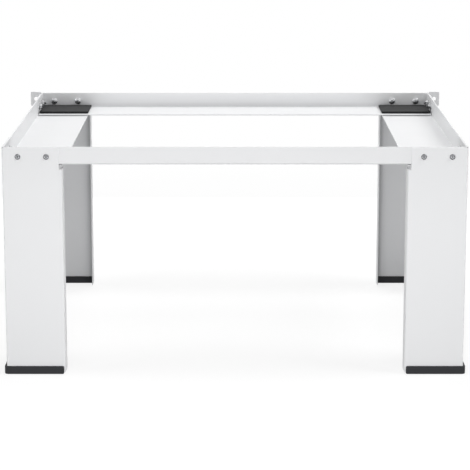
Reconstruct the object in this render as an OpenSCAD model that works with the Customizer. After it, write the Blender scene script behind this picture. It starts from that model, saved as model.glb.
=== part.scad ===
// Laundry pedestal: a low sheet-steel stand that lifts a washing machine or a dryer.
// Four folded legs, two rails and two side beams make an open frame with a raised rim,
// held by button-head screws and flange nuts. Rubber edging forms the feet, and four
// rubber pads carry the machine. X runs from left to right, Y from the front to the
// back, and Z up. The origin is on the floor, in the middle of the stand.

/* [Overall size] */
// Width over the steel, from side to side
frame_w = 624; // [560:1:720]
// Depth over the steel, from front to back
frame_d = 534; // [460:1:620]
// Height of the rim above the floor
rim_h = 314; // [250:1:400]

/* [Sheet steel] */
// Thickness of the sheet
sheet = 1.5; // [1.2:0.1:2]
// Inside radius of every bend
bend_r = 0.8; // [0.5:0.1:1.5]
// Radius of the free corners of the flanges
corner_r = 3; // [1:0.5:6]

/* [Legs] */
// Width of the front or back panel of a leg
panel_w = 80.6; // [74:0.2:94]
// Depth of the outer side of a leg
side_w = 87; // [84:1:110]
// Depth of the narrow inner return of a leg
return_d = 25.5; // [15:0.5:40]
// Gap between the top of the inner return and the side beam above it
return_gap = 4; // [1:0.5:8]
// How far the panel is cut back above the inner return
relief_w = 4.5; // [4:0.5:8]
// Size of the clipped corner at the top of the outer bend
bend_clip = 3; // [1:0.5:4]

/* [Rails and side beams] */
// Height of the rim above the underside of the rails
rim_rise = 24; // [20:0.5:34]
// Depth of the flange of a rail
rail_d = 85; // [80:1:110]
// Gap between the end of a rail and the lip of a side beam
rail_gap = 1.2; // [0.3:0.1:2]
// Gap between the flange of a rail and the side beam below it
plate_gap = 1; // [0.5:0.1:2]
// Gap between the end of a side beam and the bend of a leg
beam_gap = 0.3; // [0.2:0.1:2]

/* [Wall lugs] */
// Width of a lug beyond the side of the leg
lug_w = 16.6; // [12:0.2:18]
// Height of a lug
lug_h = 22.4; // [16:0.2:30]
// How far a lug stands above the rim
lug_rise = 1.5; // [0:0.5:4]
// Slot between a lug and the bend below it
lug_relief = 2; // [1:0.5:4]
// Diameter of the hole for a wall screw
lug_hole_d = 6.4; // [4:0.2:8]
// Radius of the outer corners of a lug
lug_r = 1.5; // [0.5:0.5:3]

/* [Feet] */
// Height of the rubber edging
foot_h = 11; // [8:0.5:18]
// Thickness of the rubber on each side of the sheet
foot_wall = 3; // [2:0.5:4]
// Thickness of the rubber below the sheet
foot_base = 2; // [1.5:0.5:5]
// Gap between the sheet and the groove in the rubber
foot_fit = 0.1; // [0.1:0.05:0.3]
// Radius of the ends of the edging, seen from the side
foot_r = 2; // [1:0.5:3]

/* [Pads] */
// Width of a pad, from side to side
pad_w = 76; // [60:1:80]
// Depth of a pad, from front to back
pad_d = 74; // [50:1:76]
// Thickness of a pad
pad_t = 3.4; // [2:0.2:4]
// Gap between a pad and the lip of the side beam
pad_side_gap = 2; // [0.5:0.5:3]
// Gap between a pad and the web of the rail
pad_end_gap = 1; // [0.5:0.5:3]
// Radius of the corners of a pad
pad_r = 2.5; // [1:0.5:6]

/* [Screws and nuts] */
// Distance between the two screws of a pair
bolt_pitch = 38; // [30:1:42]
// Height of the rim above the screws
bolt_drop = 13.3; // [11:0.1:14]
// Diameter of the thread
thread_d = 4; // [3:0.5:5]
// Length of a screw under its head
screw_l = 10; // [9:0.5:14]
// Diameter of the button head
head_d = 7.6; // [6:0.2:9]
// Height of the button head
head_h = 2.2; // [1.6:0.2:2.6]
// Width across the flats of the socket in the head
socket_af = 2.5; // [2:0.5:3]
// Depth of the socket in the head
socket_l = 1.3; // [0.8:0.1:1.4]
// Width across the flats of a nut
nut_af = 7; // [6:0.5:8]
// Height of a nut, with its flange
nut_h = 4.6; // [3:0.2:6]
// Diameter of the flange of a nut
nut_flange_d = 9.8; // [9:0.2:11]
// Thickness of the flange of a nut
nut_flange_t = 1; // [0.6:0.1:1.6]
// Extra diameter of the holes for the screws
hole_gap = 0.5; // [0.2:0.1:1]
// Extra diameter of the bore of a nut around its screw
thread_gap = 0.1; // [0.1:0.05:0.3]

/* [Hidden] */
$fn = 48;

// How far a bend reaches from the outer corner along each flange
setback = sheet + bend_r;
// Underside of the flanges of the rails
deck_z = rim_h - rim_rise;
// Underside of the plates of the side beams
beam_z = deck_z - plate_gap - sheet;
// Top of the inner return of a leg
return_z = beam_z - return_gap;
// Height of the screws
bolt_z = rim_h - bolt_drop;
// Middle of a pair of screws across the panel and along the side of a leg
panel_mid = panel_w / 2;
side_mid = side_w / 2;
// Diameter of the holes for the screws
hole_d = thread_d + hole_gap;
// Inner face of the lip of a side beam, measured in from the side of the leg
lip_in = 2 * sheet;
// Inner face of the upright web of a rail, measured in from the face of the leg
web_in = 2 * sheet;
// Lower edge of a lug, and the depth of the slot in the side of the leg beside it
lug_z = rim_h + lug_rise - lug_h;
slot_d = lug_w + setback;
// Faces of the rubber edging, measured from the outer face of the sheet
foot_out = foot_wall + foot_fit;
foot_in = sheet + foot_fit + foot_wall;
// Length of the cuts that run past a face
past = 1;

steel_color = "white";
rubber_color = "dimgray";
zinc_color = "silver";

// Puts a piece, drawn for the front left corner, at one of the four corners.
// There the corner of the leg is the origin, and X and Y both point inwards.
module at_corner(right, rear) {
    mirror([right ? 1 : 0, 0, 0])
        mirror([0, rear ? 1 : 0, 0])
            translate([-frame_w / 2, -frame_d / 2, 0])
                children();
}

// Does the same for all four corners
module at_all_corners() {
    for (right = [false, true], rear = [false, true])
        at_corner(right, rear) children();
}

// Quarter ring of a bend. It turns left from the end of a run that points along X.
module bend_ring(t, r) {
    translate([0, t + r])
        intersection() {
            difference() {
                circle(r = t + r);
                circle(r = r);
            }
            translate([0, -t - r]) square(t + r);
        }
}

// Section of a folded sheet: flat runs of the given lengths, with a left-hand bend
// between each two. The outer face lies on X and Y, and the sheet is t thick.
module folded_section(runs, t = sheet, r = bend_r, i = 0) {
    square([runs[i], t]);
    if (i < len(runs) - 1)
        translate([runs[i], 0]) {
            bend_ring(t, r);
            translate([t + r, t + r])
                rotate(90)
                    folded_section(runs, t, r, i + 1);
        }
}

// Rectangle with rounded corners
module rounded_rect(w, d, r) {
    translate([r, 0]) square([w - 2 * r, d]);
    translate([0, r]) square([w, d - 2 * r]);
    for (x = [r, w - r], y = [r, d - r])
        translate([x, y]) circle(r = r);
}

// What is cut off a square corner at the origin to round it
module corner_cut(r) {
    difference() {
        translate([-past, -past]) square(r + past);
        translate([r, r]) circle(r = r);
    }
}

// Turns a profile drawn in X and Y into a bar along the Y axis, upright in X and Z
module along_y(length) {
    translate([0, length, 0])
        rotate([90, 0, 0])
            linear_extrude(length) children();
}

// Turns a profile drawn in X and Y into a bar along the X axis, upright in Y and Z
module along_x(length) {
    rotate([90, 0, 90])
        linear_extrude(length) children();
}

// Places of the two screws through the panel of a leg. Z points inwards and X is level,
// so that a nut has a flat side towards the pad below it.
module at_panel_screws() {
    for (side = [-1, 1])
        translate([panel_mid + side * bolt_pitch / 2, 0, bolt_z])
            rotate([-90, 0, 0]) children();
}

// Places of the two screws through the side of a leg, turned in the same way
module at_side_screws() {
    for (side = [-1, 1])
        translate([0, side_mid + side * bolt_pitch / 2, bolt_z])
            rotate([0, 90, 0]) rotate(90) children();
}

// Hole for one screw, through both sheets
module screw_hole() {
    translate([0, 0, -past]) cylinder(d = hole_d, h = 2 * sheet + 2 * past);
}

// Upright sheet of a leg: side, panel and inner return, folded from one strip
module leg_sheet() {
    runs = [side_w - setback, panel_w - 2 * setback, return_d - setback];
    translate([0, 0, foot_base])
        linear_extrude(rim_h - foot_base)
            translate([0, side_w])
                rotate(-90) folded_section(runs);
}

// What is cut from the top of a leg: the return stops below the side beam, and the
// panel beside it is cut back, so that the bend ends in an open notch
module return_cut() {
    translate([panel_w - relief_w, -past, return_z])
        cube([relief_w + past, return_d + 2 * past, rim_h - return_z + past]);
}

// Rounded free corners at the top of the side and of the return
module flange_corners() {
    translate([-past, side_w, rim_h])
        along_x(sheet + 2 * past)
            rotate(180) corner_cut(corner_r);
    translate([panel_w - sheet - past, return_d, return_z])
        along_x(sheet + 2 * past)
            rotate(180) corner_cut(corner_r);
}

// Clipped corner at the top of the outer bend
module bend_corner_clip() {
    translate([0, -past, rim_h])
        along_y(setback + past)
            rotate(45) square(bend_clip * sqrt(2), center = true);
}

module plain_leg() {
    difference() {
        leg_sheet();
        return_cut();
        flange_corners();
        at_panel_screws() screw_hole();
        at_side_screws() screw_hole();
    }
}

module front_leg() {
    color(steel_color)
        difference() {
            plain_leg();
            bend_corner_clip();
        }
}

// Slot beside a lug, where the side of the leg gives up the steel for the lug
module lug_slot() {
    translate([-past, -past, lug_z - lug_relief])
        cube([setback + past, slot_d + past, lug_h + lug_relief + past]);
}

// Lug in the plane of the back panel, with a hole for a wall screw
module lug() {
    translate([-lug_w, sheet, lug_z])
        rotate([90, 0, 0])
            linear_extrude(sheet)
                difference() {
                    union() {
                        rounded_rect(lug_w, lug_h, lug_r);
                        translate([lug_r, 0]) square([lug_w - lug_r, lug_h]);
                        translate([lug_w, 0]) square([setback, lug_h - lug_rise]);
                    }
                    translate([lug_w / 2, lug_h / 2]) circle(d = lug_hole_d);
                }
}

module rear_leg() {
    color(steel_color)
        union() {
            difference() {
                plain_leg();
                lug_slot();
            }
            lug();
        }
}

// Section of a rail in Y and Z: an upright web behind the panels and a flat flange
module rail_section() {
    translate([sheet, rim_h])
        rotate(-90) folded_section([rim_rise - setback, rail_d - setback]);
}

module rail(rear) {
    rail_l = frame_w - 2 * (lip_in + rail_gap);
    color(steel_color)
        difference() {
            mirror([0, rear ? 1 : 0, 0])
                translate([-rail_l / 2, -frame_d / 2, 0])
                    along_x(rail_l) rail_section();
            for (right = [false, true])
                at_corner(right, rear) {
                    at_panel_screws() screw_hole();
                    translate([lip_in + rail_gap, sheet + rail_d, deck_z - past])
                        linear_extrude(sheet + 2 * past)
                            mirror([0, 1]) corner_cut(corner_r);
                    translate([lip_in + rail_gap, sheet - past, rim_h])
                        along_y(sheet + 2 * past)
                            mirror([0, 1]) corner_cut(corner_r);
                }
        }
}

// Section of a side beam in X and Z: a lip inside the legs and a flat plate
module beam_section() {
    translate([sheet, rim_h])
        rotate(-90) folded_section([rim_h - beam_z - setback, panel_w - sheet - setback]);
}

module side_beam(right) {
    end_y = setback + beam_gap;
    beam_l = frame_d - 2 * end_y;
    color(steel_color)
        difference() {
            at_corner(right, false)
                translate([0, end_y, 0]) along_y(beam_l) beam_section();
            for (rear = [false, true])
                at_corner(right, rear) {
                    at_side_screws() screw_hole();
                    translate([panel_w, end_y, beam_z - past])
                        linear_extrude(sheet + 2 * past)
                            mirror([1, 0]) corner_cut(corner_r);
                }
        }
}

// Side view of a run of rubber edging, with its far end rounded
module edging_side(length) {
    difference() {
        square([length, foot_h]);
        translate([length, 0]) mirror([1, 0]) corner_cut(foot_r);
        translate([length, foot_h]) mirror([1, 0]) mirror([0, 1]) corner_cut(foot_r);
    }
}

// Groove for the sheet, which follows the side, the bend and the panel
module foot_groove() {
    runs = [side_w + past - setback, panel_w - setback];
    translate([0, 0, foot_base])
        linear_extrude(foot_h)
            translate([-foot_fit, side_w + past])
                rotate(-90) folded_section(runs, sheet + 2 * foot_fit, bend_r - foot_fit);
}

// Rubber edging round the lower end of a leg, along its side and its panel
module foot() {
    color(rubber_color)
        difference() {
            union() {
                translate([-foot_out, -foot_out, 0])
                    along_y(foot_out + foot_in) edging_side(panel_w - setback + foot_out);
                translate([-foot_out, -foot_out, 0])
                    along_x(foot_out + foot_in) edging_side(side_w + foot_out);
            }
            translate([-foot_out, -foot_out, -past])
                linear_extrude(foot_h + 2 * past) corner_cut(setback + foot_out);
            foot_groove();
        }
}

// Rubber pad on the flange of a rail, beside the lip of the side beam
module pad() {
    color(rubber_color)
        translate([lip_in + pad_side_gap, web_in + pad_end_gap, deck_z + sheet])
            linear_extrude(pad_t) rounded_rect(pad_w, pad_d, pad_r);
}

// Button-head screw with its head outside the sheet and its shank along Z
module screw() {
    dome_r = (head_d * head_d / 4 + head_h * head_h) / (2 * head_h);
    color(zinc_color)
        difference() {
            rotate_extrude() {
                intersection() {
                    translate([0, dome_r - head_h]) circle(r = dome_r);
                    translate([0, -head_h]) square([head_d / 2, head_h]);
                }
                square([thread_d / 2, screw_l]);
            }
            translate([0, 0, -head_h - past])
                cylinder(d = socket_af / cos(30), h = socket_l + past, $fn = 6);
        }
}

// Flange nut on the inner sheet
module nut() {
    color(zinc_color)
        translate([0, 0, 2 * sheet])
            difference() {
                union() {
                    cylinder(d = nut_flange_d, h = nut_flange_t);
                    cylinder(d = nut_af / cos(30), h = nut_h, $fn = 6);
                }
                translate([0, 0, -past]) cylinder(d = thread_d + thread_gap, h = nut_h + 2 * past);
            }
}

module leg_front_left() { at_corner(false, false) front_leg(); }
module leg_front_right() { at_corner(true, false) front_leg(); }
module leg_rear_left() { at_corner(false, true) rear_leg(); }
module leg_rear_right() { at_corner(true, true) rear_leg(); }

module front_rail() { rail(false); }
module rear_rail() { rail(true); }
module side_beam_left() { side_beam(false); }
module side_beam_right() { side_beam(true); }

module foot_front_left() { at_corner(false, false) foot(); }
module foot_front_right() { at_corner(true, false) foot(); }
module foot_rear_left() { at_corner(false, true) foot(); }
module foot_rear_right() { at_corner(true, true) foot(); }

module pad_front_left() { at_corner(false, false) pad(); }
module pad_front_right() { at_corner(true, false) pad(); }
module pad_rear_left() { at_corner(false, true) pad(); }
module pad_rear_right() { at_corner(true, true) pad(); }

module rail_screws_front_left() { at_corner(false, false) at_panel_screws() screw(); }
module rail_screws_front_right() { at_corner(true, false) at_panel_screws() screw(); }
module rail_screws_rear_left() { at_corner(false, true) at_panel_screws() screw(); }
module rail_screws_rear_right() { at_corner(true, true) at_panel_screws() screw(); }

module rail_nuts_front_left() { at_corner(false, false) at_panel_screws() nut(); }
module rail_nuts_front_right() { at_corner(true, false) at_panel_screws() nut(); }
module rail_nuts_rear_left() { at_corner(false, true) at_panel_screws() nut(); }
module rail_nuts_rear_right() { at_corner(true, true) at_panel_screws() nut(); }

module side_screws_front_left() { at_corner(false, false) at_side_screws() screw(); }
module side_screws_front_right() { at_corner(true, false) at_side_screws() screw(); }
module side_screws_rear_left() { at_corner(false, true) at_side_screws() screw(); }
module side_screws_rear_right() { at_corner(true, true) at_side_screws() screw(); }

module side_nuts_front_left() { at_corner(false, false) at_side_screws() nut(); }
module side_nuts_front_right() { at_corner(true, false) at_side_screws() nut(); }
module side_nuts_rear_left() { at_corner(false, true) at_side_screws() nut(); }
module side_nuts_rear_right() { at_corner(true, true) at_side_screws() nut(); }

leg_front_left();
leg_front_right();
leg_rear_left();
leg_rear_right();
front_rail();
rear_rail();
side_beam_left();
side_beam_right();
foot_front_left();
foot_front_right();
foot_rear_left();
foot_rear_right();
pad_front_left();
pad_front_right();
pad_rear_left();
pad_rear_right();
rail_screws_front_left();
rail_screws_front_right();
rail_screws_rear_left();
rail_screws_rear_right();
rail_nuts_front_left();
rail_nuts_front_right();
rail_nuts_rear_left();
rail_nuts_rear_right();
side_screws_front_left();
side_screws_front_right();
side_screws_rear_left();
side_screws_rear_right();
side_nuts_front_left();
side_nuts_front_right();
side_nuts_rear_left();
side_nuts_rear_right();
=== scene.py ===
"""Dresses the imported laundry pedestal: powder-coated sheet steel, rubber edging,
rubber pads, zinc-plated screws and flange nuts, on a pale studio floor."""

import math
import random

import bmesh
import bpy
from mathutils import Matrix, Vector


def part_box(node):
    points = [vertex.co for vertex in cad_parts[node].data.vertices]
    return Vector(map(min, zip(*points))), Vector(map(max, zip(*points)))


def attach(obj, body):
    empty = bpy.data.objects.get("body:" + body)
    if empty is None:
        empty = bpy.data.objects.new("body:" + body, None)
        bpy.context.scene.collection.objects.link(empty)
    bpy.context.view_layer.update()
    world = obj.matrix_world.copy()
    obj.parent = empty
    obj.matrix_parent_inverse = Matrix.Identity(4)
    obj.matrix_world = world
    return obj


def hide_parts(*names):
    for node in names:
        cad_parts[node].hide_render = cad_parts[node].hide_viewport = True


bl_info = {
    "name": "Laundry Pedestal",
    "version": (1, 0, 0),
    "blender": (4, 5, 0),
    "location": "View3D > Sidebar > Pedestal",
    "description": "Finishes a sheet-steel laundry pedestal and lights it in a studio",
    "category": "Object",
}

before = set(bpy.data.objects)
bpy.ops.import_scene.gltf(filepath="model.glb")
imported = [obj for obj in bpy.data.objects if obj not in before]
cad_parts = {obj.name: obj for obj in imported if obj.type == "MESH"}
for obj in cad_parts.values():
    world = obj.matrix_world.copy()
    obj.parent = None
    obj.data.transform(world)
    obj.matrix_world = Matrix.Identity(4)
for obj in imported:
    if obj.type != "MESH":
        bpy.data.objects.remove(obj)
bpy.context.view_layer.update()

MM = 0.001
BODY = "root"
CORNERS = ("front_left", "front_right", "rear_left", "rear_right")
RAILS = ("front_rail", "rear_rail")
BEAMS = ("side_beam_left", "side_beam_right")
X, Y = 0, 1
FLOAT = "NodeSocketFloat"
# Socket numbers of a Mix node that blends colours
MIX_FACTOR, MIX_A, MIX_B, MIX_RESULT = 0, 6, 7, 2

# Colours that lie on a finish: painted shade in the folds of the coat, then dust
PAINTED_SHADE_ON_COAT = (0.03, 0.03, 0.032)
DUST_ON_COAT = (0.55, 0.53, 0.5)
DUST_ON_RUBBER = (0.16, 0.157, 0.153)
DUST_ON_ZINC = (0.4, 0.39, 0.38)
# How a colour changes where the coat is thin, where zinc is rubbed and where rubber blooms
THIN_COAT, RUBBED_ZINC, RUBBER_BLOOM = 0.86, 1.35, 0.02
# How much rougher a surface is where dust covers it
DUST_ROUGHNESS = 0.25

# Points closer than this are one point, and faces that lean less than this are one face
SAME_POINT, SAME_FACE = 0.001 * MM, math.radians(0.5)
# A bend sharper than this is an edge, of a sheet or of a fastener
SHEET_EDGE, FASTENER_EDGE = math.radians(40), math.radians(35)

# Each light's name, place, what it looks at, and size in metres
LIGHTS = (
    ("top", (0, 0.2, 2.6), (0, 0, 0.2), (0.9, 0.9)),
    ("left_top", (-1.7, -0.3, 2.1), (0, 0, 0.25), (1.2, 1.6)),
    ("right_top", (3.4, -0.6, 3.95), (0, 0, 0.25), (2.4, 3.2)),
    ("left", (-2.6, -0.6, 1.2), (0, 0, 0.2), (1.6, 1.6)),
    ("right", (2.6, -0.6, 1.2), (0, 0, 0.2), (1.6, 1.6)),
    ("tray", (0, 0.9, 1.3), (0, 0.2, 0.3), (0.7, 0.5)),
    ("front", (0, -1.9, 1.5), (0, -0.27, 0.2), (2.0, 0.9)),
    ("low", (0, -1.0, 0.12), (0, -0.27, 0.1), (1.5, 0.2)),
    ("back", (0, 1.0, 0.12), (0, 0.27, 0.1), (1.5, 0.2)),
)
# Lights that no surface mirrors, because they would glare in the narrow folds of the legs
NOT_MIRRORED = ("back",)

FLOOR_REACH, FLOOR_DROP = 12.0, 0.2 * MM
WHITE = (1, 1, 1, 1)


# Helpers for node trees

def put(tree, kind, inputs=None, **settings):
    """Adds a node. Each input is a plain value or another node's output."""
    node = tree.nodes.new(kind)
    for key, value in settings.items():
        setattr(node, key, value)
    feed(tree, node, inputs or {})
    return node


def feed(tree, node, inputs):
    """Sets or links the inputs of a node."""
    for key, value in inputs.items():
        if isinstance(value, bpy.types.NodeSocket):
            tree.links.new(value, node.inputs[key])
        else:
            node.inputs[key].default_value = value


def maths(tree, operation, *values, clamp=False):
    """The result of a Math node."""
    inputs = dict(enumerate(values))
    return put(tree, "ShaderNodeMath", inputs, operation=operation, use_clamp=clamp).outputs[0]


def mix_colours(tree, factor, first, second):
    """The result of a Mix node between two colours."""
    inputs = {MIX_FACTOR: factor, MIX_A: first, MIX_B: second}
    return put(tree, "ShaderNodeMix", inputs, data_type="RGBA").outputs[MIX_RESULT]


def object_noise(tree, size, detail, roughness=0.5):
    """Noise with blobs of about the given size in metres, fixed to the object."""
    where = put(tree, "ShaderNodeTexCoord").outputs["Object"]
    scale = maths(tree, "DIVIDE", 1.0, size)
    inputs = {"Vector": where, "Scale": scale, "Detail": detail, "Roughness": roughness}
    return put(tree, "ShaderNodeTexNoise", inputs).outputs["Fac"]


def shared_group(name, inputs, outputs, build):
    """A node group that is built once and then found again by its name."""
    group = bpy.data.node_groups.get(name)
    if group is None:
        group = bpy.data.node_groups.new(name, "ShaderNodeTree")
        for label, default in inputs.items():
            socket = group.interface.new_socket(label, in_out="INPUT", socket_type=FLOAT)
            socket.default_value = default
        for label in outputs:
            group.interface.new_socket(label, in_out="OUTPUT", socket_type=FLOAT)
        given = group.nodes.new("NodeGroupInput").outputs
        results = build(group, given)
        feed(group, group.nodes.new("NodeGroupOutput"), results)
    return group


def use_group(tree, group, **values):
    """Places a node group with its own values and returns its outputs."""
    node = put(tree, "ShaderNodeGroup", node_tree=group)
    feed(tree, node, {key.replace("_", " "): value for key, value in values.items()})
    return node.outputs


# Effects that the finishes share

def surface_grain():
    """Fine relief: the orange peel of powder coat, the grain of rubber or plating."""
    wave, speck = 3.7, 0.45  # widths of a wave and a speck, in cells

    def build(tree, given):
        fine = object_noise(tree, given["Cell Size"], 1.5)
        coarse_size = maths(tree, "MULTIPLY", given["Cell Size"], wave)
        coarse = object_noise(tree, coarse_size, 1.0)
        relief = maths(tree, "MULTIPLY_ADD", coarse, given["Waviness"], fine)
        speck_size = maths(tree, "MULTIPLY", given["Cell Size"], speck)
        speckle = object_noise(tree, speck_size, 2.0)
        return {"Height": relief, "Speckle": speckle}
    return shared_group("surface_grain", {"Cell Size": 0.001, "Waviness": 0.8},
                        ("Height", "Speckle"), build)


def tone_drift():
    """Slow changes of tone, as a factor a little above and below one."""
    narrow = 4.0  # the noise keeps to about the middle quarter of its range

    def build(tree, given):
        patches = object_noise(tree, given["Patch Size"], 2.0)
        centred = maths(tree, "SUBTRACT", patches, 0.5)
        swing = maths(tree, "MULTIPLY", given["Spread"], narrow)
        return {"Factor": maths(tree, "MULTIPLY_ADD", centred, swing, 1.0)}
    return shared_group("tone_drift", {"Patch Size": 0.1, "Spread": 0.02}, ("Factor",), build)


def edge_wear():
    """A mask along outer and inner edges, broken up as handling and flow leave it."""
    steepness = 5.0  # how fast the mask rises as the surface turns into the edge

    def build(tree, given):
        rounded = put(tree, "ShaderNodeBevel", {"Radius": given["Reach"]}, samples=6)
        normal = put(tree, "ShaderNodeNewGeometry").outputs["Normal"]
        agree = put(tree, "ShaderNodeVectorMath", {0: rounded.outputs[0], 1: normal},
                    operation="DOT_PRODUCT").outputs["Value"]
        bend = maths(tree, "SUBTRACT", 1.0, agree)
        edge = maths(tree, "MULTIPLY", bend, steepness, clamp=True)
        breaks = object_noise(tree, given["Break-up Size"], 3.0, 0.6)
        broken = put(tree, "ShaderNodeMapRange",
                     {"Value": breaks, "From Min": 0.38, "From Max": 0.62}).outputs["Result"]
        mask = maths(tree, "MULTIPLY", edge, broken)
        return {"Mask": maths(tree, "MULTIPLY", mask, given["Amount"], clamp=True)}
    return shared_group("edge_wear", {"Reach": 0.001, "Break-up Size": 0.01, "Amount": 0.5},
                        ("Mask",), build)


def fold_grime():
    """A mask of painted shade in the hollow of a fold, darkest where the fold hides the most of the
    room.
    """
    def build(tree, given):
        # Occlusion within the reach becomes painted shade on the colour
        open_sky = put(tree, "ShaderNodeAmbientOcclusion", {"Distance": given["Reach"]},
                       samples=12, only_local=True).outputs["AO"]
        hollow = maths(tree, "SUBTRACT", 1.0, open_sky)
        patches = object_noise(tree, given["Patch Size"], 3.0, 0.6)
        shade_breakup = put(tree, "ShaderNodeMapRange",
                    {"Value": patches, "From Min": 0.3, "From Max": 0.7, "To Min": 0.88,
                     "To Max": 1.0}).outputs["Result"]
        mask = maths(tree, "MULTIPLY", hollow, shade_breakup)
        return {"Mask": maths(tree, "MULTIPLY", mask, given["Amount"], clamp=True)}
    return shared_group("fold_grime", {"Reach": 0.008, "Patch Size": 0.03, "Amount": 0.5},
                        ("Mask",), build)


def settled_dust():
    """A mask of thin patchy dust on what faces up."""
    def build(tree, given):
        normal = put(tree, "ShaderNodeNewGeometry").outputs["Normal"]
        up = put(tree, "ShaderNodeSeparateXYZ", {0: normal}).outputs["Z"]
        level = put(tree, "ShaderNodeMapRange", {"Value": up, "From Min": 0.55, "From Max": 0.97},
                    interpolation_type="SMOOTHSTEP").outputs["Result"]
        patches = object_noise(tree, given["Patch Size"], 4.0, 0.6)
        thin = put(tree, "ShaderNodeMapRange",
                   {"Value": patches, "From Min": 0.25, "From Max": 0.75}).outputs["Result"]
        mask = maths(tree, "MULTIPLY", level, thin)
        return {"Mask": maths(tree, "MULTIPLY", mask, given["Amount"], clamp=True)}
    return shared_group("settled_dust", {"Patch Size": 0.04, "Amount": 0.2}, ("Mask",), build)


# Finishes

def new_material(name):
    """An empty node material with an output and a Principled BSDF."""
    mat = bpy.data.materials.new(name)
    mat.use_nodes = True
    tree = mat.node_tree
    tree.nodes.clear()
    shader = tree.nodes.new("ShaderNodeBsdfPrincipled")
    output = tree.nodes.new("ShaderNodeOutputMaterial")
    tree.links.new(shader.outputs["BSDF"], output.inputs["Surface"])
    return mat, tree, shader


def finish_surface(tree, shader, colour, roughness, drift, layers, grain, relief, spread):
    """Joins the shared effects into one finish.

    colour and roughness are those of the clean surface. layers are pairs of an effect that
    gives a mask and the colour that it lays on, the last one dust. relief is the depth of the
    grain in metres, and spread says how much the roughness changes from speck to speck.
    """
    seen = put(tree, "ShaderNodeHueSaturation",
               {"Color": (*colour, 1), "Value": drift["Factor"]}).outputs["Color"]
    for mask, tint in layers:
        seen = mix_colours(tree, mask["Mask"], seen, (*tint, 1))
    low = roughness - spread / 2
    specked = maths(tree, "MULTIPLY_ADD", grain["Speckle"], spread, low)
    dulled = maths(tree, "MULTIPLY_ADD", layers[-1][0]["Mask"], DUST_ROUGHNESS, specked,
                   clamp=True)
    bump = put(tree, "ShaderNodeBump", {"Height": grain["Height"], "Distance": relief})
    feed(tree, shader, {"Base Color": seen, "Roughness": dulled, "Normal": bump.outputs[0]})


def powder_coat(name, shade_amount, props):
    """White powder coat with faint orange peel, thin along the edges, with painted shade darkening
    the folds.
    """
    mat, tree, shader = new_material(name)
    thin = tuple(channel * THIN_COAT for channel in props.colour)
    finish_surface(
        tree, shader, props.colour, props.roughness,
        use_group(tree, tone_drift(), Patch_Size=0.09, Spread=0.008),
        ((use_group(tree, edge_wear(), **{"Reach": 0.5 * MM, "Break-up Size": 12 * MM,
                                          "Amount": props.edge_thinning}), thin),
         # Painted shade: near black laid into the hollows of the folds
         (use_group(tree, fold_grime(), Reach=9 * MM, Patch_Size=0.03, Amount=shade_amount),
          PAINTED_SHADE_ON_COAT),
         (use_group(tree, settled_dust(), Patch_Size=0.05, Amount=props.dust), DUST_ON_COAT)),
        grain=use_group(tree, surface_grain(), Cell_Size=props.peel_size, Waviness=0.9),
        relief=props.peel_depth, spread=0.1)
    return mat


def rubber(name, colour, gloss, props):
    """Matt black rubber with a fine grain, a grey bloom at the edges and some dust."""
    mat, tree, shader = new_material(name)
    shader.inputs["Specular IOR Level"].default_value = gloss
    bloom = tuple(RUBBER_BLOOM + channel for channel in colour)
    finish_surface(
        tree, shader, colour, props.roughness,
        use_group(tree, tone_drift(), Patch_Size=0.018, Spread=0.05),
        ((use_group(tree, edge_wear(), **{"Reach": 0.8 * MM, "Break-up Size": 6 * MM,
                                          "Amount": 0.4}), bloom),
         (use_group(tree, settled_dust(), Patch_Size=0.012, Amount=props.dust), DUST_ON_RUBBER)),
        grain=use_group(tree, surface_grain(), Cell_Size=props.grain_size, Waviness=0.5),
        relief=0.03 * MM, spread=0.12)
    return mat


def zinc_plating(name, colour, props):
    """Zinc over steel, a little dusty on top and rubbed bright at the edges."""
    mat, tree, shader = new_material(name)
    shader.inputs["Metallic"].default_value = 1.0
    bright = tuple(min(1.0, channel * RUBBED_ZINC) for channel in colour)
    finish_surface(
        tree, shader, colour, props.roughness,
        use_group(tree, tone_drift(), Patch_Size=0.003, Spread=0.06),
        ((use_group(tree, edge_wear(), **{"Reach": 0.15 * MM, "Break-up Size": 1.5 * MM,
                                          "Amount": 0.6}), bright),
         (use_group(tree, settled_dust(), Patch_Size=0.004, Amount=0.15), DUST_ON_ZINC)),
        grain=use_group(tree, surface_grain(), Cell_Size=0.25 * MM, Waviness=0.6),
        relief=0.006 * MM, spread=0.16)
    return mat


def coat(obj, material):
    """Gives an object one material in place of what it has."""
    obj.data.materials.clear()
    obj.data.materials.append(material)


def soften(obj, radius):
    """Rounds the edges of a CAD node by modifiers, without touching its mesh.

    The new edges don't slide along the old ones, which would fold the long thin faces, and
    the normals follow the large faces, so that flat sheets are shaded flat.
    """
    weld = obj.modifiers.new("joined", "WELD")
    weld.merge_threshold = SAME_POINT
    merge = obj.modifiers.new("merged_facets", "DECIMATE")
    merge.decimate_type = "DISSOLVE"
    merge.angle_limit = SAME_FACE
    round_off = obj.modifiers.new("soft_edges", "BEVEL")
    round_off.width = radius
    round_off.segments = 2
    round_off.limit_method = "ANGLE"
    round_off.angle_limit = SHEET_EDGE
    round_off.use_clamp_overlap = False
    round_off.loop_slide = False
    round_off.harden_normals = True
    level = obj.modifiers.new("level_faces", "WEIGHTED_NORMAL")
    level.mode = "FACE_AREA"
    level.weight = 100


# Fasteners

SEGMENTS = 72


def hexagon(flat, height):
    """A ring on a hexagon that is flat metres from its middle to each side."""
    sixth = math.radians(60)

    def point(angle):
        return flat / math.cos((angle + sixth / 2) % sixth - sixth / 2), height
    return point


def circle(radius, height):
    """A plain round ring."""
    return lambda angle: (radius, height)


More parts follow.
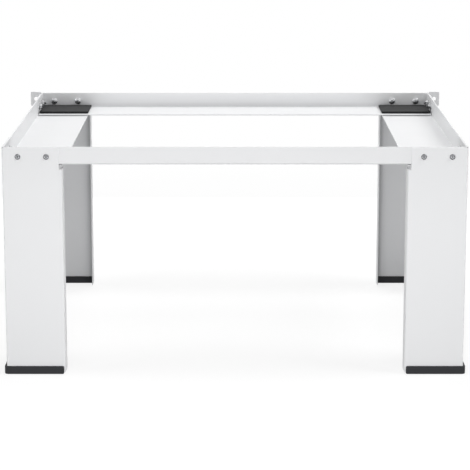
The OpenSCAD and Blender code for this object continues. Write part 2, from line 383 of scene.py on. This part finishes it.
def skin(bm, place, rings, segments, turn=0.0, closed=False):
    """Joins rings into a surface. A ring gives the radius and height at an angle."""
    loops = []
    for ring in rings:
        loop = []
        for step in range(segments):
            angle = 2 * math.pi * step / segments
            radius, height = ring(angle)
            around = angle + turn
            spot = Vector((radius * math.cos(around), radius * math.sin(around), height))
            loop.append(bm.verts.new(place @ spot))
        loops.append(loop)
    pairs = list(zip(loops, loops[1:]))
    if closed:
        pairs.append((loops[-1], loops[0]))
    for one, two in pairs:
        for step in range(segments):
            after = (step + 1) % segments
            bm.faces.new((one[step], one[after], two[after], two[step]))
    if not closed:
        bm.faces.new(loops[0])
        bm.faces.new(loops[-1])


def screw_rings(props, head_radius, length):
    """A button head with a hexagon socket, a shank and a threaded end with a chamfer."""
    top, flat = props.head_height, props.socket_flats / 2
    crown, rim = 1.95 * MM, 0.25 * MM  # radius of the flat top, height of the side
    tip, drilled = 0.02 * MM, 0.35 * MM  # the drilled hollow under the socket
    edge = 0.1 * MM
    bottom = top - props.socket_depth
    shank = props.thread_diameter / 2 - 0.02 * MM
    rings = [circle(tip, bottom - drilled), hexagon(flat * 0.8, bottom - 0.1 * MM),
             hexagon(flat, bottom + 0.05 * MM), hexagon(flat, top - 0.2 * MM),
             circle(flat * 1.25, top), circle(crown, top)]
    dome_steps = 8
    for step in range(1, dome_steps + 1):
        lean = math.pi / 2 * (1 - step / dome_steps)
        rings.append(circle(crown + (head_radius - crown) * math.cos(lean),
                            rim + (top - rim) * math.sin(lean)))
    rings += [circle(head_radius, edge), circle(head_radius - edge, 0), circle(shank, 0)]

    root = shank - props.thread_depth
    start, end = -(props.nut_height + 2 * MM), -length
    chamfer_depth, end_depth = 0.55 * MM, 0.8 * MM
    turn_steps = 8

    def thread(height):
        def point(angle):
            turn = (height / props.thread_pitch - angle / (2 * math.pi)) % 1.0
            crest = 1 - abs(2 * turn - 1)
            # Cut off at both ends, for flat crests and a narrower flat root
            crest = min(1.0, max(0.0, 1.35 * crest - 0.1))
            chamfer = shank - chamfer_depth + (height - end)
            return min(root + props.thread_depth * crest, chamfer), height
        return point

    rings.append(circle(shank, start + props.thread_pitch))
    turns = (start - end) / props.thread_pitch
    count = round(turns * turn_steps)
    for step in range(count + 1):
        rings.append(thread(start + (end - start) * step / count))
    rings.append(circle(shank - end_depth, end))
    return rings


def nut_rings(props, flange_radius):
    """A flange nut: serrated underside, sloping flange and a hexagon with a turned top."""
    bore, mouth = props.thread_diameter / 2 + 0.03 * MM, 0.35 * MM
    high, flat = props.nut_height, props.nut_flats / 2
    rim, flange_height, flange_slope = flange_radius - 0.15 * MM, 0.85 * MM, 0.42
    turned_slope = math.tan(math.radians(22))
    teeth, tooth = 24, 0.22 * MM

    def serration(angle):
        rise = (angle * teeth / (2 * math.pi)) % 1.0
        return rim, tooth * rise

    def on_hexagon(give_height):
        def point(angle):
            radius = hexagon(flat, 0)(angle)[0]
            return radius, give_height(radius)
        return point

    def slope(radius):
        return flange_height + (rim - radius) * flange_slope

    def turned_top(radius):
        return high - 0.05 * MM - (radius - flat) * turned_slope

    return [circle(bore, 0.4 * MM), circle(bore + mouth, 0.06 * MM), serration,
            circle(flange_radius, 0.3 * MM), circle(flange_radius, 0.7 * MM),
            circle(rim, slope(rim)), on_hexagon(lambda r: slope(r) - 0.04 * MM),
            on_hexagon(lambda r: slope(r) + 0.16 * MM), on_hexagon(turned_top),
            circle(flat * 0.97, high), circle(bore + mouth, high), circle(bore, high - mouth)]


def pair_spots(node, axis):
    """Where the two fasteners of a CAD node lie, the way out, and their radius.

    axis is the one along which they point. The outward end of each is in the first
    value of a spot, the inward end in the second.
    """
    low, high = (Vector(corner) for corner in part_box(node))
    middle = (low + high) / 2
    side = math.copysign(1.0, middle[axis])
    along = Y if axis == X else X
    radius = (high.z - low.z) / 2
    spots = []
    for place in (low[along] + radius, high[along] - radius):
        outer, inner = middle.copy(), middle.copy()
        outer[along] = inner[along] = place
        outer[axis], inner[axis] = (high[axis], low[axis]) if side > 0 else (low[axis], high[axis])
        spots.append((outer, inner))
    out = Vector()
    out[axis] = side
    return spots, out, radius


def facing(origin, direction):
    """A placing that turns the third axis of a template to a direction."""
    turn = direction.to_track_quat("Z", "Y").to_matrix().to_4x4()
    return Matrix.Translation(origin) @ turn


def fastener_piece(name, node, bm, material):
    """Makes an object of a fastener mesh and lets it stand for its CAD node."""
    bmesh.ops.recalc_face_normals(bm, faces=bm.faces)
    mesh = bpy.data.meshes.new(name)
    bm.to_mesh(mesh)
    bm.free()
    mesh.shade_smooth()
    mesh.set_sharp_from_angle(angle=FASTENER_EDGE)
    piece = bpy.data.objects.new(name, mesh)
    bpy.context.scene.collection.objects.link(piece)
    coat(piece, material)
    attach(piece, BODY)
    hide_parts(node)


class PEDESTAL_PG_coat(bpy.types.PropertyGroup):
    """Powder coat on the sheet steel"""
    colour: bpy.props.FloatVectorProperty(
        name="Coat colour", description="Colour of the powder coat", subtype="COLOR",
        size=3, min=0.0, max=1.0, default=(0.80, 0.805, 0.815))
    roughness: bpy.props.FloatProperty(
        name="Coat roughness", description="How matt the powder coat is",
        min=0.05, max=1.0, default=0.45, subtype="FACTOR")
    peel_size: bpy.props.FloatProperty(
        name="Orange peel size", description="Width of one dimple in the powder coat",
        min=0.2 * MM, max=10 * MM, default=1.8 * MM, unit="LENGTH", precision=5)
    peel_depth: bpy.props.FloatProperty(
        name="Orange peel depth", description="Depth of the dimples in the powder coat",
        min=0.0, max=0.5 * MM, default=0.012 * MM, unit="LENGTH", precision=6)
    edge_thinning: bpy.props.FloatProperty(
        name="Edge thinning", description="How much the coat thins along the edges",
        min=0.0, max=1.0, default=0.35, subtype="FACTOR")
    dust: bpy.props.FloatProperty(
        name="Dust on the coat", description="How much dust lies on the level sheets",
        min=0.0, max=1.0, default=0.03, subtype="FACTOR")
    # These three set how strongly painted shade darkens the inner folds of each kind of sheet
    leg_painted_shade: bpy.props.FloatProperty(
        name="Grime in the legs", description="How dark the inner folds of the legs are",
        min=0.0, max=1.0, default=1.0, subtype="FACTOR")
    rail_painted_shade: bpy.props.FloatProperty(
        name="Grime in the rails", description="How dark the inner folds of the rails are",
        min=0.0, max=1.0, default=0.35, subtype="FACTOR")
    beam_painted_shade: bpy.props.FloatProperty(
        name="Grime in the side beams",
        description="How dark the inner folds of the side beams are",
        min=0.0, max=1.0, default=0.1, subtype="FACTOR")
    edge_radius: bpy.props.FloatProperty(
        name="Sheet edge radius", description="Rounding of the coated sheet edges",
        min=0.05 * MM, max=0.7 * MM, default=0.35 * MM, unit="LENGTH", precision=5)


class PEDESTAL_PG_rubber(bpy.types.PropertyGroup):
    """Rubber edging and pads"""
    edging_colour: bpy.props.FloatVectorProperty(
        name="Edging colour", description="Colour of the rubber edging", subtype="COLOR",
        size=3, min=0.0, max=1.0, default=(0.027, 0.028, 0.031))
    pad_colour: bpy.props.FloatVectorProperty(
        name="Pad colour", description="Colour of the rubber pads", subtype="COLOR",
        size=3, min=0.0, max=1.0, default=(0.013, 0.0135, 0.0145))
    edging_gloss: bpy.props.FloatProperty(
        name="Edging gloss", description="Strength of the reflection on the edging",
        min=0.0, max=1.0, default=0.3, subtype="FACTOR")
    pad_gloss: bpy.props.FloatProperty(
        name="Pad gloss", description="Strength of the reflection on the pads",
        min=0.0, max=1.0, default=0.22, subtype="FACTOR")
    roughness: bpy.props.FloatProperty(
        name="Rubber roughness", description="How matt the rubber is",
        min=0.05, max=1.0, default=0.8, subtype="FACTOR")
    grain_size: bpy.props.FloatProperty(
        name="Rubber grain", description="Width of one grain on the moulded rubber",
        min=0.05 * MM, max=5 * MM, default=0.5 * MM, unit="LENGTH", precision=5)
    dust: bpy.props.FloatProperty(
        name="Dust on the rubber", description="How much dust lies on the level rubber",
        min=0.0, max=1.0, default=0.12, subtype="FACTOR")
    edging_radius: bpy.props.FloatProperty(
        name="Edging edge radius", description="Rounding of the edges of the edging",
        min=0.1 * MM, max=1.4 * MM, default=0.8 * MM, unit="LENGTH", precision=5)
    pad_radius: bpy.props.FloatProperty(
        name="Pad edge radius", description="Rounding of the edges of the pads",
        min=0.1 * MM, max=1.4 * MM, default=0.6 * MM, unit="LENGTH", precision=5)


class PEDESTAL_PG_hardware(bpy.types.PropertyGroup):
    """Screws and nuts"""
    # The screw zinc is much darker than the nut zinc: painted shade on the button heads
    screw_colour_painted_shade: bpy.props.FloatVectorProperty(
        name="Screw colour", description="Colour of the zinc on the screws", subtype="COLOR",
        size=3, min=0.0, max=1.0, default=(0.165, 0.168, 0.175))
    nut_colour: bpy.props.FloatVectorProperty(
        name="Nut colour", description="Colour of the brighter zinc on the nuts",
        subtype="COLOR", size=3, min=0.0, max=1.0, default=(0.46, 0.465, 0.475))
    roughness: bpy.props.FloatProperty(
        name="Zinc roughness", description="How dull the plating is",
        min=0.05, max=1.0, default=0.22, subtype="FACTOR")
    thread_diameter: bpy.props.FloatProperty(
        name="Thread diameter", description="Outer diameter of the thread",
        min=2 * MM, max=6 * MM, default=4 * MM, unit="LENGTH", precision=5)
    thread_pitch: bpy.props.FloatProperty(
        name="Thread pitch", description="Advance of the thread in one turn",
        min=0.3 * MM, max=2 * MM, default=0.7 * MM, unit="LENGTH", precision=5)
    thread_depth: bpy.props.FloatProperty(
        name="Thread depth", description="Depth of the thread",
        min=0.1 * MM, max=1 * MM, default=0.36 * MM, unit="LENGTH", precision=5)
    head_height: bpy.props.FloatProperty(
        name="Head height", description="Height of the button head above the sheet",
        min=1 * MM, max=4 * MM, default=2.2 * MM, unit="LENGTH", precision=5)
    socket_flats: bpy.props.FloatProperty(
        name="Socket width", description="Width across the flats of the hexagon socket",
        min=1 * MM, max=4 * MM, default=2.5 * MM, unit="LENGTH", precision=5)
    socket_depth: bpy.props.FloatProperty(
        name="Socket depth", description="Depth of the hexagon socket",
        min=0.5 * MM, max=2 * MM, default=1.3 * MM, unit="LENGTH", precision=5)
    nut_flats: bpy.props.FloatProperty(
        name="Nut width", description="Width across the flats of the nut",
        min=5 * MM, max=10 * MM, default=7 * MM, unit="LENGTH", precision=5)
    nut_height: bpy.props.FloatProperty(
        name="Nut height", description="Height of the nut with its flange",
        min=2 * MM, max=8 * MM, default=4.6 * MM, unit="LENGTH", precision=5)


class PEDESTAL_PG_stage(bpy.types.PropertyGroup):
    """Camera, floor and lights"""
    camera_distance: bpy.props.FloatProperty(
        name="Camera distance", description="From the front of the stand to the camera",
        default=2.5042, min=1.0, max=10.0, unit="LENGTH")
    camera_height: bpy.props.FloatProperty(
        name="Camera height", description="Height of the camera above the floor",
        default=0.72995, min=0.1, max=5.0, unit="LENGTH")
    camera_pitch: bpy.props.FloatProperty(
        name="Camera pitch", description="How far the camera looks down",
        default=math.radians(12.08), min=0.0, max=1.5, subtype="ANGLE")
    lens: bpy.props.FloatProperty(
        name="Lens", description="Focal length of the camera",
        default=145.52, min=20.0, max=400.0, unit="CAMERA")
    floor_colour: bpy.props.FloatVectorProperty(
        name="Floor colour", description="Colour that the floor throws back on the stand",
        subtype="COLOR", size=3, min=0.0, max=1.0, default=(0.35, 0.35, 0.35))
    shadow: bpy.props.FloatProperty(
        name="Floor shadow", description="How much of the stand's shadow the floor shows",
        default=0.2, min=0.0, max=1.0, subtype="FACTOR")
    shadow_reach: bpy.props.FloatProperty(
        name="Shadow reach", description="How far from the middle the shadow stays before it fades",
        default=0.7, min=0.1, max=5.0, unit="LENGTH")
    room_light: bpy.props.FloatProperty(
        name="Room light", description="Strength of the even light of the room",
        default=0.14, min=0.0, max=3.0)
    top_power: bpy.props.FloatProperty(
        name="Top light", description="Power of the small light overhead",
        default=6.0, min=0.0, max=2000.0, unit="POWER")
    left_top_power: bpy.props.FloatProperty(
        name="Left top light", description="Power of the soft light above on the left",
        default=9.5, min=0.0, max=2000.0, unit="POWER")
    right_top_power: bpy.props.FloatProperty(
        name="Right top light", description="Power of the soft light above on the right",
        default=136.0, min=0.0, max=2000.0, unit="POWER")
    left_power: bpy.props.FloatProperty(
        name="Left light", description="Power of the soft light on the left",
        default=19.0, min=0.0, max=2000.0, unit="POWER")
    right_power: bpy.props.FloatProperty(
        name="Right light", description="Power of the soft light on the right",
        default=5.0, min=0.0, max=2000.0, unit="POWER")
    front_power: bpy.props.FloatProperty(
        name="Front light", description="Power of the soft light above the camera's view",
        default=7.0, min=0.0, max=2000.0, unit="POWER")
    low_power: bpy.props.FloatProperty(
        name="Low front light", description="Power of the long low light close in front",
        default=4.4, min=0.0, max=2000.0, unit="POWER")
    tray_power: bpy.props.FloatProperty(
        name="Tray light", description="Power of the small light above the back of the tray",
        default=5.0, min=0.0, max=2000.0, unit="POWER")
    back_power: bpy.props.FloatProperty(
        name="Low back light", description="Power of the long low light behind the stand",
        default=5.0, min=0.0, max=2000.0, unit="POWER")


class PEDESTAL_OT_legs(bpy.types.Operator):
    """Softens the edges of the four legs and powder-coats them"""
    bl_idname = "pedestal.legs"
    bl_label = "Legs"

    def execute(self, context):
        props = context.scene.pedestal_coat
        # The legs get full painted shade in their inner folds
        white = powder_coat("leg_powder_coat", props.leg_painted_shade, props)
        for corner in CORNERS:
            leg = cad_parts["leg_" + corner]
            soften(leg, props.edge_radius)
            coat(leg, white)
        return {"FINISHED"}


class PEDESTAL_OT_top_frame(bpy.types.Operator):
    """Softens the edges of the rails and the side beams and powder-coats them"""
    bl_idname = "pedestal.top_frame"
    bl_label = "Rails and side beams"

    def execute(self, context):
        props = context.scene.pedestal_coat
        # The rails get some painted shade in their folds, the side beams a little
        for kind, names, shade_amount in (("rail", RAILS, props.rail_painted_shade),
                                   ("beam", BEAMS, props.beam_painted_shade)):
            white = powder_coat(f"{kind}_powder_coat", shade_amount, props)
            for name in names:
                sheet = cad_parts[name]
                soften(sheet, props.edge_radius)
                coat(sheet, white)
        return {"FINISHED"}


class PEDESTAL_OT_edging(bpy.types.Operator):
    """Gives the rubber edging under the legs its soft edges and its rubber"""
    bl_idname = "pedestal.edging"
    bl_label = "Rubber edging"

    def execute(self, context):
        props = context.scene.pedestal_rubber
        black = rubber("edging_rubber", props.edging_colour, props.edging_gloss, props)
        for corner in CORNERS:
            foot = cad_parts["foot_" + corner]
            soften(foot, props.edging_radius)
            coat(foot, black)
        return {"FINISHED"}


class PEDESTAL_OT_pads(bpy.types.Operator):
    """Gives the pads in the corners of the tray their soft edges and their rubber"""
    bl_idname = "pedestal.pads"
    bl_label = "Corner pads"

    def execute(self, context):
        props = context.scene.pedestal_rubber
        black = rubber("pad_rubber", props.pad_colour, props.pad_gloss, props)
        for corner in CORNERS:
            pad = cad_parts["pad_" + corner]
            soften(pad, props.pad_radius)
            coat(pad, black)
        return {"FINISHED"}


class PEDESTAL_OT_screws(bpy.types.Operator):
    """Makes the button head screws that hold the corners together"""
    bl_idname = "pedestal.screws"
    bl_label = "Screws"

    def execute(self, context):
        props = context.scene.pedestal_hardware
        # This zinc carries painted shade, darker than the same plating on the nuts
        zinc = zinc_plating("screw_zinc", props.screw_colour_painted_shade, props)
        draw = random.Random(5)
        for kind, axis in (("rail_screws", Y), ("side_screws", X)):
            for corner in CORNERS:
                node = f"{kind}_{corner}"
                spots, out, radius = pair_spots(node, axis)
                bm = bmesh.new()
                for outer, inner in spots:
                    length = (outer - inner).length - props.head_height
                    place = facing(outer - out * props.head_height, out)
                    skin(bm, place, screw_rings(props, radius, length), SEGMENTS // 2,
                         turn=draw.uniform(0, math.pi / 3))
                fastener_piece(f"button_{node}", node, bm, zinc)
        return {"FINISHED"}


class PEDESTAL_OT_nuts(bpy.types.Operator):
    """Makes the flange nuts on the inner ends of the screws"""
    bl_idname = "pedestal.nuts"
    bl_label = "Flange nuts"

    def execute(self, context):
        props = context.scene.pedestal_hardware
        zinc = zinc_plating("nut_zinc", props.nut_colour, props)
        draw = random.Random(11)
        for kind, axis in (("rail_nuts", Y), ("side_nuts", X)):
            for corner in CORNERS:
                node = f"{kind}_{corner}"
                spots, out, radius = pair_spots(node, axis)
                bm = bmesh.new()
                for outer, inner in spots:
                    skin(bm, facing(outer, -out), nut_rings(props, radius), SEGMENTS,
                         turn=draw.uniform(0, math.pi / 3), closed=True)
                fastener_piece(f"flange_{node}", node, bm, zinc)
        return {"FINISHED"}


def area_light(name, location, target, size, power, mirrored):
    """A soft rectangular light that looks at a point and isn't seen itself."""
    data = bpy.data.lights.new(name, "AREA")
    data.shape = "RECTANGLE"
    data.size, data.size_y = size
    data.energy = power
    light = bpy.data.objects.new(name, data)
    bpy.context.scene.collection.objects.link(light)
    light.location = location
    aim = Vector(target) - Vector(location)
    light.rotation_euler = aim.to_track_quat("-Z", "Y").to_euler()
    light.visible_camera = False
    light.visible_glossy = mirrored


def seen_ray(tree, *kinds):
    """One where the ray is of one of the kinds, such as Is Camera Ray."""
    path = put(tree, "ShaderNodeLightPath").outputs
    answer = path[kinds[0]]
    for kind in kinds[1:]:
        answer = maths(tree, "MAXIMUM", answer, path[kind])
    return answer


def place_camera(props):
    """The camera in front of the stand, level from side to side and looking down a little."""
    data = bpy.data.cameras.new("camera")
    data.sensor_width = 36.0
    data.lens = props.lens
    data.clip_start, data.clip_end = 0.05, 60.0
    camera = bpy.data.objects.new("camera", data)
    bpy.context.scene.collection.objects.link(camera)
    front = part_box("leg_front_left")[0][1]
    camera.location = (0, front - props.camera_distance, props.camera_height)
    camera.rotation_euler = (math.pi / 2 - props.camera_pitch, 0, 0)
    bpy.context.scene.camera = camera


def light_room(props):
    """A white surround where it is seen or mirrored, and a faint even light elsewhere."""
    world = bpy.data.worlds.new("studio")
    world.use_nodes = True
    bpy.context.scene.world = world
    tree = world.node_tree
    tree.nodes.clear()
    room = put(tree, "ShaderNodeBackground", {"Color": WHITE, "Strength": props.room_light})
    white = put(tree, "ShaderNodeBackground", {"Color": WHITE, "Strength": 1.0})
    seen = seen_ray(tree, "Is Camera Ray", "Is Glossy Ray", "Is Transmission Ray")
    both = put(tree, "ShaderNodeMixShader", {0: seen, 1: room.outputs[0], 2: white.outputs[0]})
    put(tree, "ShaderNodeOutputWorld", {"Surface": both.outputs[0]})


def lay_floor(props):
    """A pale floor that reads as white paper and keeps a trace of the stand's shadow."""
    mesh = bpy.data.meshes.new("floor")
    bm = bmesh.new()
    bmesh.ops.create_grid(bm, x_segments=1, y_segments=1, size=FLOOR_REACH)
    bm.to_mesh(mesh)
    bm.free()
    floor = bpy.data.objects.new("floor", mesh)
    bpy.context.scene.collection.objects.link(floor)
    floor.location.z = -FLOOR_DROP
    mat, tree, shader = new_material("studio_floor")
    shader.inputs["Roughness"].default_value = 0.8
    shader.inputs["Specular IOR Level"].default_value = 0.0
    paper = mix_colours(tree, seen_ray(tree, "Is Camera Ray"), (*props.floor_colour, 1), WHITE)
    feed(tree, shader, {"Base Color": paper})
    glow = put(tree, "ShaderNodeEmission", {"Color": WHITE, "Strength": 1.0})
    seen = seen_ray(tree, "Is Camera Ray", "Is Glossy Ray", "Is Transmission Ray")
    where = put(tree, "ShaderNodeTexCoord").outputs["Object"]
    away = put(tree, "ShaderNodeVectorMath", {0: where}, operation="LENGTH").outputs["Value"]
    near, far, held = props.shadow_reach, props.shadow_reach * 2, 1 - props.shadow
    plain = put(tree, "ShaderNodeMapRange",
                {"Value": away, "From Min": near, "From Max": far, "To Min": held, "To Max": 1.0},
                interpolation_type="SMOOTHSTEP").outputs["Result"]
    share = maths(tree, "MULTIPLY", seen, plain)
    both = put(tree, "ShaderNodeMixShader", {0: share, 1: shader.outputs[0], 2: glow.outputs[0]})
    feed(tree, tree.nodes["Material Output"], {"Surface": both.outputs[0]})
    coat(floor, mat)


class PEDESTAL_OT_stage(bpy.types.Operator):
    """Lays the floor and sets up the lights and the camera"""
    bl_idname = "pedestal.stage"
    bl_label = "Stage"

    def execute(self, context):
        props = context.scene.pedestal_stage
        context.scene.view_settings.view_transform = "Standard"
        place_camera(props)
        light_room(props)
        lay_floor(props)
        for name, place, target, size in LIGHTS:
            area_light(f"{name}_light", place, target, size, getattr(props, f"{name}_power"),
                       mirrored=name not in NOT_MIRRORED)
        return {"FINISHED"}


class PEDESTAL_PT_panel(bpy.types.Panel):
    """Sizes, finishes and steps of the pedestal"""
    bl_idname = "PEDESTAL_PT_panel"
    bl_label = "Laundry Pedestal"
    bl_space_type = "VIEW_3D"
    bl_region_type = "UI"
    bl_category = "Pedestal"

    def draw(self, context):
        for name, group in GROUPS.items():
            box = self.layout.box()
            for prop in group.__annotations__:
                box.prop(getattr(context.scene, name), prop)
        for operator in OPERATORS:
            self.layout.operator(operator.bl_idname)


GROUPS = {
    "pedestal_coat": PEDESTAL_PG_coat,
    "pedestal_rubber": PEDESTAL_PG_rubber,
    "pedestal_hardware": PEDESTAL_PG_hardware,
    "pedestal_stage": PEDESTAL_PG_stage,
}
OPERATORS = (PEDESTAL_OT_legs, PEDESTAL_OT_top_frame, PEDESTAL_OT_edging, PEDESTAL_OT_pads,
             PEDESTAL_OT_screws, PEDESTAL_OT_nuts, PEDESTAL_OT_stage)


def register():
    """Adds the classes and their settings to Blender."""
    for cls in (*GROUPS.values(), *OPERATORS, PEDESTAL_PT_panel):
        bpy.utils.register_class(cls)
    for name, cls in GROUPS.items():
        setattr(bpy.types.Scene, name, bpy.props.PointerProperty(type=cls))


def unregister():
    """Takes them out again."""
    for name in GROUPS:
        delattr(bpy.types.Scene, name)
    for cls in (PEDESTAL_PT_panel, *reversed(OPERATORS), *GROUPS.values()):
        bpy.utils.unregister_class(cls)


def main():
    """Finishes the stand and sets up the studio."""
    register()
    bpy.ops.pedestal.legs()
    bpy.ops.pedestal.top_frame()
    bpy.ops.pedestal.edging()
    bpy.ops.pedestal.pads()
    bpy.ops.pedestal.screws()
    bpy.ops.pedestal.nuts()
    bpy.ops.pedestal.stage()


if __name__ == "__main__":
    main()
